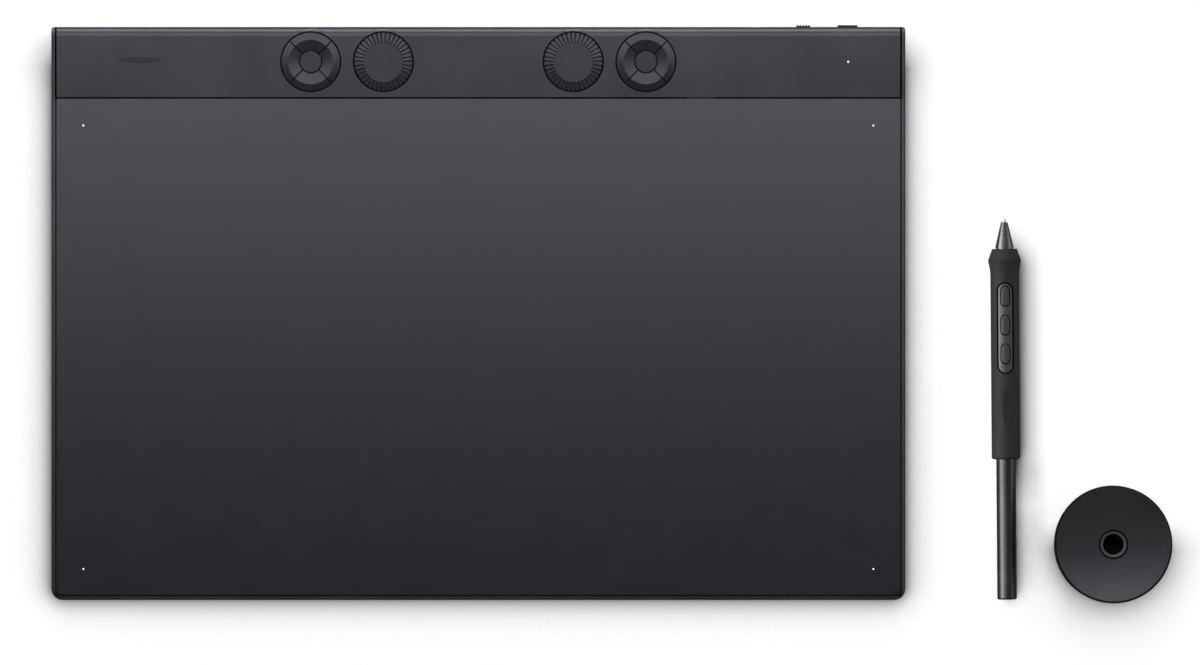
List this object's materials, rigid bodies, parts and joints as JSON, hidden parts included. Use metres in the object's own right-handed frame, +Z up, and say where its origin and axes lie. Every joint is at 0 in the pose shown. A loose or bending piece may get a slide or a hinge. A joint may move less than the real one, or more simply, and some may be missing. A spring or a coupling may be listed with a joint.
{
  "type": "pen drawing tablet",
  "caption": "Thin pen drawing tablet with a raised control bar of knurled dials and key rings, a grip pen with side buttons, and a round dished pen stand.",
  "frame": {"origin": "middle of the tablet in plan, on the plane its rubber feet rest on (the underside of the round middle foot)", "axes": "+X to the right as the user sees it, +Y to the rear edge with the control bar, +Z up"},
  "size_m": [0.4945, 0.2551, 0.02],
  "materials": {
    "case_metal": "dark anodised, satin",
    "bar_plastic": "fine matte",
    "overlay_film": "fine paper-like tooth",
    "backing_plate": "smooth",
    "circuit_board": "solder mask",
    "shield_steel": "rolled",
    "chip_black": "moulded",
    "battery_foil": "foil pouch",
    "copper_film": "copper",
    "flex_film": "black cover film",
    "socket_steel": "plated",
    "light_pipe": "frosted",
    "dial_plastic": "fine matte",
    "key_plastic": "fine matte",
    "encoder_brass": "turned",
    "pad_silicone": "silicone",
    "foot_rubber": "matte",
    "nib_plastic": "smooth",
    "nose_metal": "satin turned",
    "ferrite": "sintered",
    "sensor_plastic": "moulded",
    "grip_rubber": "soft matte",
    "switch_plastic": "satin",
    "tail_metal": "satin anodised",
    "weight_steel": "turned",
    "stand_plastic": "fine matte",
    "socket_plastic": "moulded",
    "tray_plastic": "moulded"
  },
  "bodies": {
    "tablet": {"antenna": "copper_film", "bar_cover": "bar_plastic", "battery": "battery_foil", "board_chips": "chip_black", "cover_screws": "socket_steel", "dial_encoders": "encoder_brass", "drawing_overlay": "overlay_film", "flex_cable": "flex_film", "key_pads": "pad_silicone", "main_board": "circuit_board", "marker_lenses": "light_pipe", "push_switch": "chip_black", "rear_cover": "case_metal", "rubber_feet": "foot_rubber", "sensor_board": "circuit_board", "shield_sheet": "shield_steel", "slide_switch": "chip_black", "status_lens": "light_pipe", "surface_plate": "backing_plate", "usb_shell": "socket_steel", "usb_tongue": "chip_black"},
    "dial_left": {"dial_left": "dial_plastic"},
    "dial_right": {"dial_right": "dial_plastic"},
    "slide_knob": {"slide_knob": "bar_plastic"},
    "push_button": {"push_button": "bar_plastic"},
    "key_left_center": {"key_left_center": "key_plastic"},
    "key_left_down": {"key_left_down": "key_plastic"},
    "key_left_left": {"key_left_left": "key_plastic"},
    "key_left_right": {"key_left_right": "key_plastic"},
    "key_left_up": {"key_left_up": "key_plastic"},
    "key_right_center": {"key_right_center": "key_plastic"},
    "key_right_down": {"key_right_down": "key_plastic"},
    "key_right_left": {"key_right_left": "key_plastic"},
    "key_right_right": {"key_right_right": "key_plastic"},
    "key_right_up": {"key_right_up": "key_plastic"},
    "pen": {"pen_balance_weight": "weight_steel", "pen_barrel": "sensor_plastic", "pen_board": "circuit_board", "pen_coil": "copper_film", "pen_cone": "nose_metal", "pen_ferrite": "ferrite", "pen_grip": "grip_rubber", "pen_sensor": "sensor_plastic", "pen_switch_plate": "switch_plastic", "pen_switches": "chip_black", "pen_tail_shaft": "tail_metal"},
    "pen_nib": {"pen_nib": "nib_plastic"},
    "pen_button_front": {"pen_button_front": "switch_plastic"},
    "pen_button_middle": {"pen_button_middle": "switch_plastic"},
    "pen_button_rear": {"pen_button_rear": "switch_plastic"},
    "stand": {"stand_shell": "stand_plastic", "stand_socket": "socket_plastic", "stand_weight": "weight_steel", "nib_tray": "tray_plastic", "spare_nibs": "nib_plastic"},
    "stand_base": {"stand_base": "stand_plastic", "stand_foot": "foot_rubber"}
  },
  "joints": [
    {"name": "dial_left_turn", "type": "hinge", "parent": "tablet", "child": "dial_left", "pos_m": [-0.0419, 0.1111, 0.00633], "axis": [0, -0.1073, 0.9942], "continuous": true},
    {"name": "key_left_up_press", "type": "slide", "parent": "tablet", "child": "key_left_up", "axis": [0, 0.1073, -0.9942], "range_m": [0, 0.0004], "stiffness_N_per_m": 1000, "springref_m": -0.0002},
    {"name": "key_left_right_press", "type": "slide", "parent": "tablet", "child": "key_left_right", "axis": [0, 0.1073, -0.9942], "range_m": [0, 0.0004], "stiffness_N_per_m": 1000, "springref_m": -0.0002},
    {"name": "key_left_down_press", "type": "slide", "parent": "tablet", "child": "key_left_down", "axis": [0, 0.1073, -0.9942], "range_m": [0, 0.0004], "stiffness_N_per_m": 1000, "springref_m": -0.0002},
    {"name": "key_left_left_press", "type": "slide", "parent": "tablet", "child": "key_left_left", "axis": [0, 0.1073, -0.9942], "range_m": [0, 0.0004], "stiffness_N_per_m": 1000, "springref_m": -0.0002},
    {"name": "key_left_center_press", "type": "slide", "parent": "tablet", "child": "key_left_center", "axis": [0, 0.1073, -0.9942], "range_m": [0, 0.0004], "stiffness_N_per_m": 1000, "springref_m": -0.0002},
    {"name": "dial_right_turn", "type": "hinge", "parent": "tablet", "child": "dial_right", "pos_m": [0.0419, 0.1111, 0.00633], "axis": [0, -0.1073, 0.9942], "continuous": true},
    {"name": "key_right_up_press", "type": "slide", "parent": "tablet", "child": "key_right_up", "axis": [0, 0.1073, -0.9942], "range_m": [0, 0.0004], "stiffness_N_per_m": 1000, "springref_m": -0.0002},
    {"name": "key_right_right_press", "type": "slide", "parent": "tablet", "child": "key_right_right", "axis": [0, 0.1073, -0.9942], "range_m": [0, 0.0004], "stiffness_N_per_m": 1000, "springref_m": -0.0002},
    {"name": "key_right_down_press", "type": "slide", "parent": "tablet", "child": "key_right_down", "axis": [0, 0.1073, -0.9942], "range_m": [0, 0.0004], "stiffness_N_per_m": 1000, "springref_m": -0.0002},
    {"name": "key_right_left_press", "type": "slide", "parent": "tablet", "child": "key_right_left", "axis": [0, 0.1073, -0.9942], "range_m": [0, 0.0004], "stiffness_N_per_m": 1000, "springref_m": -0.0002},
    {"name": "key_right_center_press", "type": "slide", "parent": "tablet", "child": "key_right_center", "axis": [0, 0.1073, -0.9942], "range_m": [0, 0.0004], "stiffness_N_per_m": 1000, "springref_m": -0.0002},
    {"name": "power_slide", "type": "slide", "parent": "tablet", "child": "slide_knob", "axis": [1, 0, 0], "range_m": [0, 0.002]},
    {"name": "button_press", "type": "slide", "parent": "tablet", "child": "push_button", "axis": [0, -1, 0], "range_m": [0, 0.0004], "stiffness_N_per_m": 1500, "springref_m": -0.0002},
    {"name": "pen_lift", "type": "slide", "parent": "tablet", "child": "pen", "axis": [0, 0, 1], "range_m": [0, 0.12]},
    {"name": "nib_press", "type": "slide", "parent": "pen", "child": "pen_nib", "axis": [0.0079, -0.9999, -0.0115], "range_m": [0, 0.0004], "stiffness_N_per_m": 5000, "springref_m": -0.00005},
    {"name": "pen_button_front_press", "type": "slide", "parent": "pen", "child": "pen_button_front", "axis": [-0.0001, 0.0115, -0.9999], "range_m": [0, 0.0004], "stiffness_N_per_m": 1500, "springref_m": -0.0002},
    {"name": "pen_button_middle_press", "type": "slide", "parent": "pen", "child": "pen_button_middle", "axis": [-0.0001, 0.0115, -0.9999], "range_m": [0, 0.0004], "stiffness_N_per_m": 1500, "springref_m": -0.0002},
    {"name": "pen_button_rear_press", "type": "slide", "parent": "pen", "child": "pen_button_rear", "axis": [-0.0001, 0.0115, -0.9999], "range_m": [0, 0.0004], "stiffness_N_per_m": 1500, "springref_m": -0.0002},
    {"name": "stand_lift", "type": "slide", "parent": "tablet", "child": "stand", "axis": [0, 0, 1], "range_m": [0, 0.12]},
    {"name": "stand_base_twist", "type": "hinge", "parent": "stand", "child": "stand_base", "pos_m": [0.2801, -0.1019, 0.0016], "axis": [0, 0, 1], "range_deg": [0, 40]}
  ]
}
